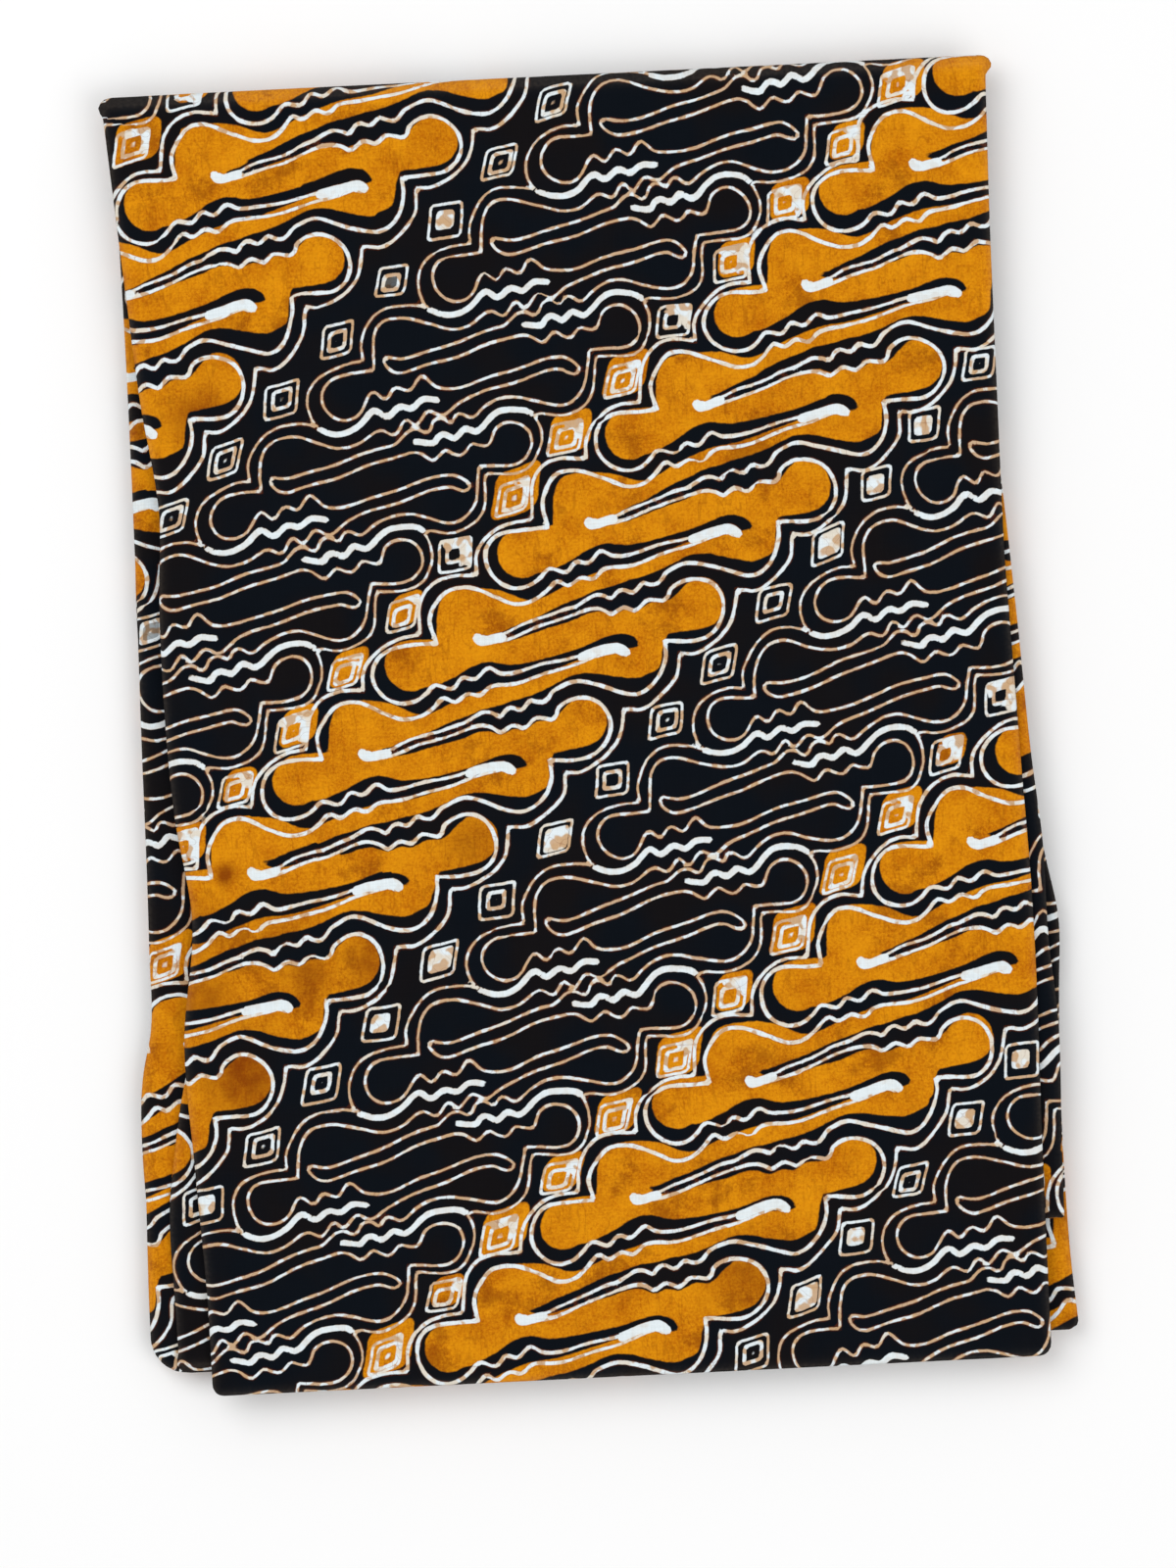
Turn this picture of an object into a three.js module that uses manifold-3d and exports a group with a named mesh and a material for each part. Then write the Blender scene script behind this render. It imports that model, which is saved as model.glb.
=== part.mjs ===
// A long batik sarong, folded for the shelf: four plies across its width, then back and forth in
// six stretches along its length. Millimetres, +Z up, +Y towards the head fold, on the plane z = 0.
// Each stretch that shows is a solid of its own, and the stretches beneath share one layered solid.
import * as THREE from "three";
import { mergeVertices } from "three/addons/utils/BufferGeometryUtils.js";
import Module from "manifold-3d";

const wasm = await Module();
wasm.setup();

// Driving sizes.
const SEAM = 0.3; // gap between neighbouring stretches
const HEAD_Y = 209.5; // outermost line of the head fold
const STRETCH_THICK = 2.0; // four plies of cotton with the air between them
const TOP_THICK = 2.2; // the top stretch lies looser
const TUCKED_THICK = 1.2; // two plies of the cloth's end
const CORE_THICK = 6.0; // three hidden stretches
const HEAD_SEAM_INSET = 3.2; // the head fold's seam with its panels, inside HEAD_Y
const HEAD_END_INSET = 1.2; // the head fold stops short of the panels' rounded sides
const FOOT_SEAM_INSET = 2.3; // the same at the foot
const FOOT_FOLD_FROM = -138; // left end of the foot fold
const FOOT_FOLD_TO = 132; // right end of the foot fold
const BEYOND = 400; // reaches past every side of the cloth
const EDGE_STEPS = 5; // facets in each rounded lip
const FOLD_STEPS = 8; // facets in a quarter turn of a fold
const SIDE_STEPS = 30; // facets along each long side
const END_STEPS = 6; // facets along each short side
const CORNER_STEPS = 5; // facets in each rounded corner
const SAME_POINT = 0.001; // points nearer than this are one

// Heights, from the underside up.
const thirdBase = CORE_THICK + SEAM;
const secondBase = thirdBase + STRETCH_THICK + SEAM;
const tuckedBase = secondBase + STRETCH_THICK + SEAM;
const topBase = tuckedBase + TUCKED_THICK + SEAM;
const topHeight = topBase + TOP_THICK;

// Each panel's long sides: a row for each place where a side changes its lean, from head to foot.
// y is the row's place along the cloth, left and right are where the sides cross it.
const topSides = [
  { y: 209.5, left: -150.0, right: 134.8 },
  { y: 150, left: -145.3, right: 133.7 },
  { y: 112, left: -142.1, right: 133.5 },
  { y: 72, left: -137.6, right: 133.3 },
  { y: 50, left: -138.8, right: 133.3 },
  { y: 20, left: -139.2, right: 134.2 },
  { y: -22, left: -137.5, right: 135.5 },
  { y: -57, left: -133.4, right: 136.7 },
  { y: -95, left: -137.8, right: 136.9 },
  { y: -140, left: -136.2, right: 136.2 },
  { y: -180, left: -134.4, right: 136.0 },
  { y: -209.6, left: -134.1, right: 136.0 },
];
const tuckedSides = [
  { y: 200, left: -126, right: 130.5 },
  { y: 100, left: -126, right: 131.5 },
  { y: 63, left: -126, right: 134.3 },
  { y: 26, left: -126, right: 136.6 },
  { y: -16, left: -126, right: 138.9 },
  { y: -44, left: -126, right: 141.2 },
  { y: -78, left: -126, right: 141.7 },
  { y: -98, left: -126, right: 143.3 },
  { y: -140, left: -126, right: 142.7 },
  { y: -165.6, left: -126, right: 142.3 },
];
const secondSides = [
  { y: 209.5, left: -148.4, right: 133.4 },
  { y: 150, left: -143.6, right: 132.0 },
  { y: 72, left: -135.4, right: 131.2 },
  { y: 20, left: -136.4, right: 131.2 },
  { y: -57, left: -131.2, right: 132.4 },
  { y: -92, left: -134.8, right: 133.6 },
  { y: -119, left: -140.8, right: 134.0 },
  { y: -155, left: -145.5, right: 134.0 },
  { y: -175, left: -145.2, right: 134.0 },
  { y: -202, left: -144.6, right: 134.0 },
];
const thirdSides = [
  { y: 205.5, left: -147.4, right: 131.0 },
  { y: 150, left: -146.4, right: 131.4 },
  { y: 60, left: -146.4, right: 132.4 },
  { y: 0, left: -147.2, right: 136.0 },
  { y: -52, left: -147.7, right: 142.4 },
  { y: -66, left: -148.0, right: 145.0 },
  { y: -93, left: -149.0, right: 144.3 },
  { y: -104, left: -151.6, right: 143.8 },
  { y: -150, left: -153.0, right: 143.2 },
  { y: -180, left: -153.6, right: 144.0 },
  { y: -202, left: -153.6, right: 145.6 },
];
const coreSides = [
  { y: 204.5, left: -146.2, right: 130.6 },
  { y: 100, left: -144.6, right: 131.6 },
  { y: 0, left: -145.8, right: 134.6 },
  { y: -60, left: -146.4, right: 141.6 },
  { y: -110, left: -149.6, right: 142.0 },
  { y: -200.5, left: -151.6, right: 142.6 },
];

// How far each hidden stretch's lip stands back from the outermost one, from the underside up.
const coreLips = [{ back: 0.8 }, { back: 2.6 }, { back: 0 }];

// One side's x at a height y, on a smooth curve through its rows.
function sideCurve(rows, side) {
  const points = rows.map((row) => new THREE.Vector2(row.y, row[side]));
  return new THREE.SplineCurve(points);
}

// A panel's outline seen from above, anticlockwise: foot, right side, head, left side, each corner
// an arc of its own radius.
function outlineOf(rows, corners) {
  const left = sideCurve(rows, "left").getPoints(SIDE_STEPS);
  const right = sideCurve(rows, "right").getPoints(SIDE_STEPS);
  const head = rows[0];
  const foot = rows[rows.length - 1];
  const inside = (p, headRadius, footRadius) =>
    p.x < head.y - headRadius && p.x > foot.y + footRadius;
  const points = [];
  const corner = (x, y, radius, from) => {
    for (let i = 0; i <= CORNER_STEPS; i++) {
      const angle = from + (i / CORNER_STEPS) * (Math.PI / 2);
      points.push(new THREE.Vector2(x + radius * Math.cos(angle), y + radius * Math.sin(angle)));
    }
  };
  const edge = (y, from, to) => {
    for (let i = 1; i < END_STEPS; i++)
      points.push(new THREE.Vector2(from + ((to - from) * i) / END_STEPS, y));
  };
  const { headLeft, headRight, footLeft, footRight } = corners;
  corner(foot.left + footLeft, foot.y + footLeft, footLeft, Math.PI);
  edge(foot.y, foot.left + footLeft, foot.right - footRight);
  corner(foot.right - footRight, foot.y + footRight, footRight, -Math.PI / 2);
  for (const p of right.reverse())
    if (inside(p, headRight, footRight)) points.push(new THREE.Vector2(p.y, p.x));
  corner(head.right - headRight, head.y - headRight, headRight, 0);
  edge(head.y, head.right - headRight, head.left + headLeft);
  corner(head.left + headLeft, head.y - headLeft, headLeft, Math.PI / 2);
  for (const p of left)
    if (inside(p, headLeft, footLeft)) points.push(new THREE.Vector2(p.y, p.x));
  return points;
}

// The outline moved inwards by a distance, each point along the mean of its two edges' normals.
function insetOutline(outline, distance) {
  const n = outline.length;
  return outline.map((p, i) => {
    const back = p.clone().sub(outline[(i + n - 1) % n]).normalize();
    const ahead = outline[(i + 1) % n].clone().sub(p).normalize();
    const normal = new THREE.Vector2(-back.y - ahead.y, back.x + ahead.x).normalize();
    return p.clone().addScaledVector(normal, distance);
  });
}

// A folded panel: its outline carried up through half-round lips, one above another, between two
// flat faces. Each lip takes an equal share of the thickness and stands back by its own distance.
function foldedPanel(outline, base, thick, lips) {
  const lipRadius = thick / lips.length / 2;
  const rings = [];
  lips.forEach((lip, k) => {
    const middle = base + lipRadius * (2 * k + 1);
    for (let i = 0; i <= EDGE_STEPS; i++) {
      const angle = (i / EDGE_STEPS - 0.5) * Math.PI;
      const inset = lip.back + lipRadius * (1 - Math.cos(angle));
      rings.push({ inset, z: middle + lipRadius * Math.sin(angle) });
    }
  });
  const positions = [];
  for (const ring of rings)
    for (const p of insetOutline(outline, ring.inset)) positions.push(p.x, p.y, ring.z);
  const n = outline.length;
  const index = [];
  for (let k = 0; k < rings.length - 1; k++)
    for (let i = 0; i < n; i++) {
      const j = (i + 1) % n;
      const [a, b, c, d] = [k * n + i, k * n + j, (k + 1) * n + j, (k + 1) * n + i];
      index.push(a, b, c, a, c, d);
    }
  const top = (rings.length - 1) * n;
  for (const [a, b, c] of THREE.ShapeUtils.triangulateShape(outline, []))
    index.push(c, b, a, top + a, top + b, top + c);
  const geometry = new THREE.BufferGeometry();
  geometry.setAttribute("position", new THREE.Float32BufferAttribute(positions, 3));
  geometry.setIndex(index);
  return mergeVertices(geometry, SAME_POINT);
}

// Cuts a box, given by its lowest and highest corners, out of a closed geometry.
function cutBox(geometry, low, high) {
  const size = new THREE.Vector3().subVectors(high, low);
  const box = new THREE.BoxGeometry(size.x, size.y, size.z);
  box.translate((low.x + high.x) / 2, (low.y + high.y) / 2, (low.z + high.z) / 2);
  const mesh = solidOf(geometry).subtract(solidOf(box)).getMesh();
  const cut = new THREE.BufferGeometry();
  cut.setAttribute("position", new THREE.BufferAttribute(mesh.vertProperties, 3));
  cut.setIndex(new THREE.BufferAttribute(mesh.triVerts, 1));
  return cut;
}

function solidOf(geometry) {
  const bare = geometry.clone();
  bare.deleteAttribute("normal");
  bare.deleteAttribute("uv");
  const merged = mergeVertices(bare, SAME_POINT);
  const vertProperties = new Float32Array(merged.attributes.position.array);
  const triVerts = new Uint32Array(merged.index.array);
  return new wasm.Manifold(new wasm.Mesh({ numProp: 3, vertProperties, triVerts }));
}

// A fold along X: a half-round wall between two panels, its opening towards them. The section is
// drawn with x towards the outside of the fold and y up, and carried from one end to the other.
function foldBar({ seamY, outerY, low, high, wall, from, to }) {
  const radius = (high - low) / 2;
  const outward = Math.sign(outerY - seamY);
  const straight = Math.abs(outerY - seamY) - radius;
  const section = new THREE.Shape();
  section.moveTo(0, -radius);
  section.lineTo(straight, -radius);
  section.absarc(straight, 0, radius, -Math.PI / 2, Math.PI / 2, false);
  section.lineTo(0, radius);
  if (wall < radius) {
    section.lineTo(0, radius - wall);
    section.lineTo(straight, radius - wall);
    section.absarc(straight, 0, radius - wall, Math.PI / 2, -Math.PI / 2, true);
    section.lineTo(0, wall - radius);
  }
  section.closePath();
  const bar = new THREE.ExtrudeGeometry(section, {
    depth: to - from,
    bevelEnabled: false,
    curveSegments: FOLD_STEPS,
  });
  bar.rotateX(Math.PI / 2);
  bar.rotateZ((outward * Math.PI) / 2);
  bar.translate(outward > 0 ? from : to, seamY, (low + high) / 2);
  return bar;
}

const single = [{ back: 0 }];

// The top stretch, squared off at the head where its fold begins.
function topPanel() {
  const corners = { headLeft: 2.5, headRight: 0.8, footLeft: 2.8, footRight: 3.4 };
  const slab = foldedPanel(outlineOf(topSides, corners), topBase, TOP_THICK, single);
  return cutHead(slab);
}

function secondPanel() {
  const corners = { headLeft: 2.5, headRight: 0.8, footLeft: 3.5, footRight: 3.5 };
  const slab = foldedPanel(outlineOf(secondSides, corners), secondBase, STRETCH_THICK, single);
  return cutFoot(cutHead(slab));
}

function thirdPanel() {
  const corners = { headLeft: 4, headRight: 4, footLeft: 11, footRight: 2.6 };
  const slab = foldedPanel(outlineOf(thirdSides, corners), thirdBase, STRETCH_THICK, single);
  return cutFoot(slab);
}

function tuckedEnd() {
  const corners = { headLeft: 1, headRight: 1, footLeft: 1, footRight: 1 };
  return foldedPanel(outlineOf(tuckedSides, corners), tuckedBase, TUCKED_THICK, single);
}

function foldedCore() {
  const corners = { headLeft: 5, headRight: 5, footLeft: 10, footRight: 6 };
  return foldedPanel(outlineOf(coreSides, corners), 0, CORE_THICK, coreLips);
}

const headSeamY = HEAD_Y - HEAD_SEAM_INSET;
const footY = secondSides[secondSides.length - 1].y;
const footSeamY = footY + FOOT_SEAM_INSET;

function cutHead(geometry) {
  const low = new THREE.Vector3(-BEYOND, headSeamY - SEAM, -BEYOND);
  return cutBox(geometry, low, new THREE.Vector3(BEYOND, BEYOND, BEYOND));
}

// The foot fold joins the second and third stretches over this width only.
function cutFoot(geometry) {
  const low = new THREE.Vector3(FOOT_FOLD_FROM - SEAM, -BEYOND, -BEYOND);
  const high = new THREE.Vector3(FOOT_FOLD_TO + SEAM, footSeamY + SEAM, BEYOND);
  return cutBox(geometry, low, high);
}

// The head fold carries the top stretch round and under, as the second one.
function headFold() {
  return foldBar({
    seamY: headSeamY,
    outerY: HEAD_Y,
    low: secondBase,
    high: topHeight,
    wall: STRETCH_THICK,
    from: topSides[0].left + HEAD_END_INSET,
    to: topSides[0].right - HEAD_END_INSET,
  });
}

// The foot fold carries the second stretch round and under, as the third one.
function footFold() {
  return foldBar({
    seamY: footSeamY,
    outerY: footY,
    low: thirdBase,
    high: secondBase + STRETCH_THICK,
    wall: STRETCH_THICK + SEAM,
    from: FOOT_FOLD_FROM,
    to: FOOT_FOLD_TO,
  });
}

const pieces = [
  { name: "top_panel", make: topPanel, colour: 0x6b451c },
  { name: "head_fold", make: headFold, colour: 0x5c3b1a },
  { name: "tucked_end", make: tuckedEnd, colour: 0x8a5a1a },
  { name: "second_panel", make: secondPanel, colour: 0x3a2a1c },
  { name: "foot_fold", make: footFold, colour: 0x4a3018 },
  { name: "third_panel", make: thirdPanel, colour: 0x9a651a },
  { name: "folded_core", make: foldedCore, colour: 0x2c241e },
];

const cloth = new THREE.Group();
for (const { name, make, colour } of pieces) {
  const material = new THREE.MeshStandardMaterial({ color: colour, roughness: 0.85, metalness: 0 });
  const mesh = new THREE.Mesh(make(), material);
  mesh.name = name;
  cloth.add(mesh);
}

// The origin is below the middle of the whole bundle.
const bounds = new THREE.Box3().setFromObject(cloth);
const middle = bounds.getCenter(new THREE.Vector3());
cloth.position.set(-middle.x, -middle.y, 0);

const sarong = new THREE.Group();
sarong.add(cloth);
export default sarong;
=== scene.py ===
import math
import bpy
import numpy as np
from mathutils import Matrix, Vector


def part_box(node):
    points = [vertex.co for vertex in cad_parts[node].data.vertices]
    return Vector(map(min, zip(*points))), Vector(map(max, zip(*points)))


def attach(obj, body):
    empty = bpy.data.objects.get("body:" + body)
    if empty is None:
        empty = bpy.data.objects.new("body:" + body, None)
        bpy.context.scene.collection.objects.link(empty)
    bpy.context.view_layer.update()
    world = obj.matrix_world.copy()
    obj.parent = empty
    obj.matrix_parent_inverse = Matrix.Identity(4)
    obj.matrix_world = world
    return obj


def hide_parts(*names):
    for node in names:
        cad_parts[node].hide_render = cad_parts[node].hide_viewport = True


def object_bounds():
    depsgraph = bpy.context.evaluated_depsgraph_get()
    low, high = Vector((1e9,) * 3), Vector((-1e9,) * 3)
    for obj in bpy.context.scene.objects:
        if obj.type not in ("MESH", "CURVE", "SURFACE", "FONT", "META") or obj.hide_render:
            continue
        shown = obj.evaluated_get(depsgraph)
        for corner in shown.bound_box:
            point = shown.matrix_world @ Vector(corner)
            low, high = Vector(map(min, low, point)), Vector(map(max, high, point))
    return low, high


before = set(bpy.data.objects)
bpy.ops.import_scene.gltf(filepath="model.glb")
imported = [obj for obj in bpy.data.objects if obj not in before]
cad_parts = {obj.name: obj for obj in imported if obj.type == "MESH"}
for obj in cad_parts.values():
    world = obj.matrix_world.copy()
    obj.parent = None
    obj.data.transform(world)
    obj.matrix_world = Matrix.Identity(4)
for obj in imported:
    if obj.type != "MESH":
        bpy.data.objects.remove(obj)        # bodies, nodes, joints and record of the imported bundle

cadLow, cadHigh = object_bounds()
mm = 0.001               # lengths below are in millimetres, meshes in metres
uvUnit = 0.01            # one unit of the UV map is 100 mm of flat cloth


# smooth curves
def hermite(t, p0, m0, p1, m1):
    # cubic from p0 to p1 with slopes m0 and m1: (2t^3 - 3t^2 + 1) p0 + (t^3 - 2t^2 + t) m0
    # + (3t^2 - 2t^3) p1 + (t^3 - t^2) m1
    return ((2 * t**3 - 3 * t**2 + 1) * p0 + (t**3 - 2 * t**2 + t) * m0
            + (3 * t**2 - 2 * t**3) * p1 + (t**3 - t**2) * m1)


def smoothStep(t):
    # 3 t^2 - 2 t^3 from 0 to 1, flat outside
    t = np.clip(t, 0, 1)
    return t * t * (3 - 2 * t)


def smoothRun(points, step=0.7):
    # cubics between the points, slopes from the neighbours weighted by the roots of the chords
    p = np.asarray(points, float)
    e = np.vstack([2 * p[0] - p[1], p, 2 * p[-1] - p[-2]])
    root = np.sqrt(np.maximum(np.hypot(*(e[1:] - e[:-1]).T), 1e-6))
    pieces = []
    for i in range(1, len(e) - 2):
        d0, d1, d2 = root[i - 1:i + 2]
        m1 = d1 * ((e[i] - e[i - 1]) / d0 - (e[i + 1] - e[i - 1]) / (d0 + d1) + (e[i + 1] - e[i]) / d1)
        m2 = d1 * ((e[i + 1] - e[i]) / d1 - (e[i + 2] - e[i]) / (d1 + d2) + (e[i + 2] - e[i + 1]) / d2)
        n = max(2, math.ceil(d1 * d1 / step))
        t = np.linspace(0, 1, n, endpoint=False)[:, None]
        pieces.append(hermite(t, e[i], m1, e[i + 1], m2))
    pieces.append(p[-1:])
    return np.vstack(pieces)


def roundRun(centre, radius, fromDegrees, toDegrees, count):
    # count points on an arc: centre + radius (cos a, sin a)
    a = np.radians(np.linspace(fromDegrees, toDegrees, count))
    return np.stack([centre[0] + radius * np.cos(a), centre[1] + radius * np.sin(a)], 1)


# the stamped repeat
# One blade of a black band and one of an orange band, charted in millimetres from the
# blade's middle: each side from its notch round the knob and along the waves to the next notch.
cloth = {
    "bladeStep": (37.5, 36.2),        # from a blade to the next along its band
    "bandStep": (155.9, -72.8),       # from a pair of bands to the next pair
    "blackCentre": (54.2, -26.4),
    "orangeCentre": (27.2, 62.9),
    "gridStep": 0.3,                  # of the distance fields
    "reach": 9.0,                     # distances stop growing here
    "stampBlades": 4,                 # blades in one print of the stamp
    "stampSlip": 0.4,                 # how far a print lies off its neighbour
    "blackSeam": -1.455,              # where a print ends, in blades along the band
    "orangeSeam": 0.5,
    "coverSeam": 1.2,
    "coverSlip": 1.6,                 # the second waxing slips this many times as far
    "wander": [(1.3, 0.35, 61.0), (4.1, 0.25, 23.0)],     # slow drifts: seed, size, wavelength
    "coverWander": (2.2, 0.8, 95.0),
    "notchPlace": (0.3, 0.15),        # a blade's notches, along and across the repeat
    "stripBand": 4,                   # the lower stretches' print starts this many bands over
    # how far off the even repeat the stamp came down, read at the notches on each side of a band,
    # and for black band -2 at a diamond: for a band's number, rows of the blade's number, x and y
    "blackDrift": {
        -2: {"right": [(2, 1.2, 8.1)]},
        -1: {"left": [(1, -1.0, -0.5), (2, -0.3, 0.1), (4, -2.0, 0.5)],
             "right": [(0, 0.4, -0.4), (2, -0.6, -1.0), (3, -1.6, -1.7)]},
        0: {"left": [(-3, -5.5, -4.0), (-2, -2.5, -2.0), (0, 0, 0), (1, -1.8, -1.1), (2, -2.0, -0.3),
                     (3, -6.8, 0.4)],
            "right": [(-4, -3.2, -2.1), (-2, -0.7, -2.2), (-1, 0.2, -0.5), (1, -2.3, 0.3)]},
        1: {"left": [(-3, 11.5, 12.3), (-2, 9.3, 12.0)]},
    },
    "orangeDrift": {
        -1: {"right": [(-1, 7.6, 5.3), (0, 4.3, 7.7), (1, 4.1, 7.7)]},
        0: {"left": [(-2, -0.5, 1.0), (-1, 0, 0), (0, 0.2, -0.8), (2, -1.9, 0), (3, -2.9, 0.9)],
            "right": [(-4, -1.2, -1.3), (-3, -0.9, 0.6), (-2, 0, -0.1), (0, 1.4, 0.3), (1, -0.4, 1.8)]},
        1: {"left": [(-5, -3.1, -1.1), (-4, -1.7, -0.1), (-2, 0.3, 0.1), (-1, 0.1, 0.7)],
            "right": [(-5, -2.8, -1.2), (-4, -0.1, 0), (-3, -0.8, 0.9)]},
    },
    # old brown stains on the top stretch; the patches along its left-hand crease also paint that crease's
    # shade: x, y, radius, strength
    "stainsAndCreaseShade": [(-118, -42, 3.0, 1.3), (-115, -107, 13, 0.9), (-126, -60, 9, 0.6), (-128, -82, 10, 0.7),
               (-72, -72, 9, 0.7), (-93, -76, 7, 0.75), (-38, -36, 10, 0.5), (-100, -66, 12, 0.4),
               (45, -178, 12, 0.6), (-119, 104, 10, 0.75)],
}
bladeStep = np.array(cloth["bladeStep"])
bandStep = np.array(cloth["bandStep"])

blackLeft = {
    "notch": (-35.5, -1.8),
    "knob": ((-45.0, -9.2), 7.1, 96, 312, 9),
    "edge": [
        (-35.8, -8.2), (-32.0, -10.4), (-28.6, -6.9), (-24.3, -8.3), (-20.5, -4.3), (-15.8, -7.8),
        (-8.0, -7.9), (3, -4.5), (13.6, -1.2), (21.7, 0.9), (26.0, 1.1), (29.2, -0.6), (30.8, -2.7),
        (29.5, -4.1), (27.2, -3.7), (24.6, -2.7), (21.0, -3.1), (9.7, -6.6), (-8.8, -12.7),
        (-14.9, -16.6), (-19.2, -15.2), (-23.4, -19.1), (-26.5, -17.0), (-30.3, -21.4), (-34.6, -20.1),
        (-41.4, -24.2), (-47.3, -25.3), (-54.1, -23.8), (-62.5, -21.3), (-68.6, -22.5), (-71.6, -26.0),
        (-72.7, -30.5),
    ],
    "outer": [
        [(-38.8, 1.4), (-43.7, 1.3), (-49.2, -0.4), (-53.9, -3.4), (-56.4, -7.5), (-56.9, -12.0),
         (-55.4, -17.0), (-52.8, -19.7)],
        [(-56.6, -17.9), (-61.4, -17.3), (-66.8, -17.9), (-71.5, -20.7), (-74.8, -25.1), (-76.6, -29.7)],
    ],
}
blackRight = {
    "notch": (34.2, 3.0),
    "knob": ((44.8, 9.9), 6.8, -88, 140, 9),
    "edge": [
        (38.4, 11.4), (37.2, 9.3), (34.9, 9.4), (31.7, 10.2), (29.9, 8.3), (28.3, 7.2), (26.0, 7.8),
        (23.3, 9.0), (21.5, 7.5), (19.4, 5.7), (17.4, 6.6), (15.4, 8.0), (12.6, 8.7), (10.2, 8.3),
        (2.1, 5.9), (-5.8, 3.0), (-11.5, 1.1), (-17.5, -0.5), (-23.1, -1.9), (-27.0, -2.6), (-29.7, -1.9),
        (-31.8, 0.1), (-32.2, 1.6), (-31.3, 2.4), (-29.2, 2.1), (-26.6, 1.8), (-23.6, 2.1), (-15.3, 4.2),
        (-5.7, 7.6), (4.3, 10.8), (7.3, 11.8), (9.4, 13.7), (11.7, 15.6), (14.3, 15.8), (17.0, 14.4),
        (18.3, 15.1), (19.7, 17.9), (22.2, 18.7), (25.4, 17.4), (27.0, 19.8), (28.6, 20.1), (32.3, 18.4),
        (36.7, 21.5), (39.7, 23.2), (43.2, 24.5), (47.8, 24.8), (52.6, 23.5), (60.0, 21.7), (64.0, 22.2),
        (67.8, 25.0), (69.9, 28.6), (70.7, 33.2),
    ],
    "outer": [
        [(36.3, 0.6), (41.3, 0.5), (45.8, 0.5), (49.2, 1.2), (51.8, 3.1), (53.6, 6.3), (54.8, 9.5),
         (54.7, 13.5), (53.9, 16.1), (52.6, 18.4)],
        [(54.9, 18.9), (58.5, 18.4), (61.3, 18.3), (64.4, 19.0), (68.0, 20.6), (70.8, 22.8), (72.4, 25.8),
         (73.0, 29.8), (73.2, 33.6)],
    ],
}
blackStrokes = {
    "half": 0.95,
    "runs": [
        [(-53.5, -19.3), (-49.8, -20.6), (-45.5, -20.4), (-41.0, -18.4), (-35.8, -13.9), (-32.2, -15.8),
         (-27.8, -12.8), (-24.0, -13.8), (-20.5, -11.5), (-15.8, -11.9)],
        [(52.4, 18.9), (50.6, 20.1), (47.6, 20.7), (43.5, 20.6), (40.8, 19.8), (38.1, 17.8), (35.4, 15.1),
         (33.4, 13.9), (31.5, 14.6), (29.5, 15.3), (27.6, 13.6), (26.0, 12.5), (24.2, 13.4), (22.4, 13.9),
         (20.8, 13.0), (19.4, 11.1), (17.6, 11.2), (13.6, 12.0)],
    ],
}
orangeLeft = {
    "notch": (-36.2, 2.1),
    "knob": ((-46.9, -7.7), 9.6, 98, 318, 11),
    "edge": [
        (-37.1, -11.4), (-31.6, -12.4), (-28.5, -9.1), (-24.4, -10.0), (-20.2, -6.7), (-16.5, -8.4),
        (-12.1, -8.4), (-2, -6.6), (8.0, -4.6), (17.3, -1.9), (22.0, -1.3), (24.7, -3.4), (23.2, -4.4),
        (21.0, -3.6), (18.7, -4.1), (-10.0, -11.6), (-19.7, -12.6), (-23.1, -15.4), (-27.2, -14.5),
        (-31.4, -16.9), (-34.7, -15.5), (-38.5, -19.2), (-42.4, -21.9), (-47.8, -22.6), (-54.6, -20.0),
        (-63.0, -16.6), (-69.0, -17.4), (-73.0, -21.7), (-75.1, -26.7),
    ],
    "outer": [
        [(-41.2, 5.1), (-47.0, 4.7), (-52.0, 2.6), (-57.2, -2.3), (-59.4, -6.7), (-59.7, -13.0)],
        [(-67.4, -12.6), (-73.4, -14.9), (-77.4, -19.9)],
    ],
}
orangeRight = {
    "notch": (36.3, -0.7),
    "knob": ((46.2, 8.9), 9.6, -92, 138, 11),
    "edge": [
        (38.6, 13.5), (37.1, 12.1), (34.8, 12.5), (31.7, 12.8), (30.2, 11.6), (28.2, 10.0), (26.2, 10.7),
        (24.2, 11.2), (22.1, 9.9), (20.3, 8.8), (17.8, 10.2), (15.4, 10.9), (12.1, 10.7), (5.8, 8.7),
        (0, 6.6), (-5, 5.2), (-10, 3.5), (-14.5, 2.2), (-18, 1.6), (-21.6, 1.6), (-23.4, 2.6),
        (-22.2, 3.4), (-20, 2.8), (-14.8, 4.1), (-10, 6.2), (0, 9.1), (5, 11.2), (8.8, 12.3),
        (11.7, 13.9), (15, 15.4), (17.9, 15.0), (20.2, 14.0), (22.3, 16.4), (24.1, 17.0), (26, 16.2),
        (27.5, 16.0), (29.4, 17.8), (30.5, 18.6), (32.5, 17.8), (34.8, 17.6), (36.7, 19.1), (37.8, 20.7),
        (40.9, 22.4), (44, 23.6), (46.7, 23.7), (52.5, 21.9), (56.3, 20.5), (60.2, 19.3), (64.4, 18.6),
        (67.1, 19.3), (69.4, 20.8), (72, 24), (73.6, 28), (74.2, 31.5),
    ],
    "outer": [
        [(41.1, -4.5), (44.8, -4.9), (47.8, -4.2), (50.9, -2.6), (54, -0.5), (57.5, 3.5), (58.8, 6.6),
         (59.6, 10.5), (60, 14)],
        [(62.5, 13.9), (65.2, 13.5), (67.8, 14.3), (71, 16.5), (75, 20.5), (77.6, 24.5), (78.2, 29.7)],
    ],
}
orangeStrokes = {
    "half": 1.45,
    "runs": [
        [(-23.4, 3.0), (-22.6, 1.9), (-20.5, 1.9), (-17.5, 2.6), (-15.6, 3.0)],
        [(9.9, -4.7), (14, -3.5), (20, -2.3), (22.6, -2.4), (24.1, -3.7)],
    ],
}
# wax hardly reached the foot of each tongue, so that its two lines are thin there
orangeSlits = [[(-8, -9.6), (8, -5.9), (20, -3.0)], [(8, 9.6), (-8, 5.9), (-20, 3.0)]]
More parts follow.
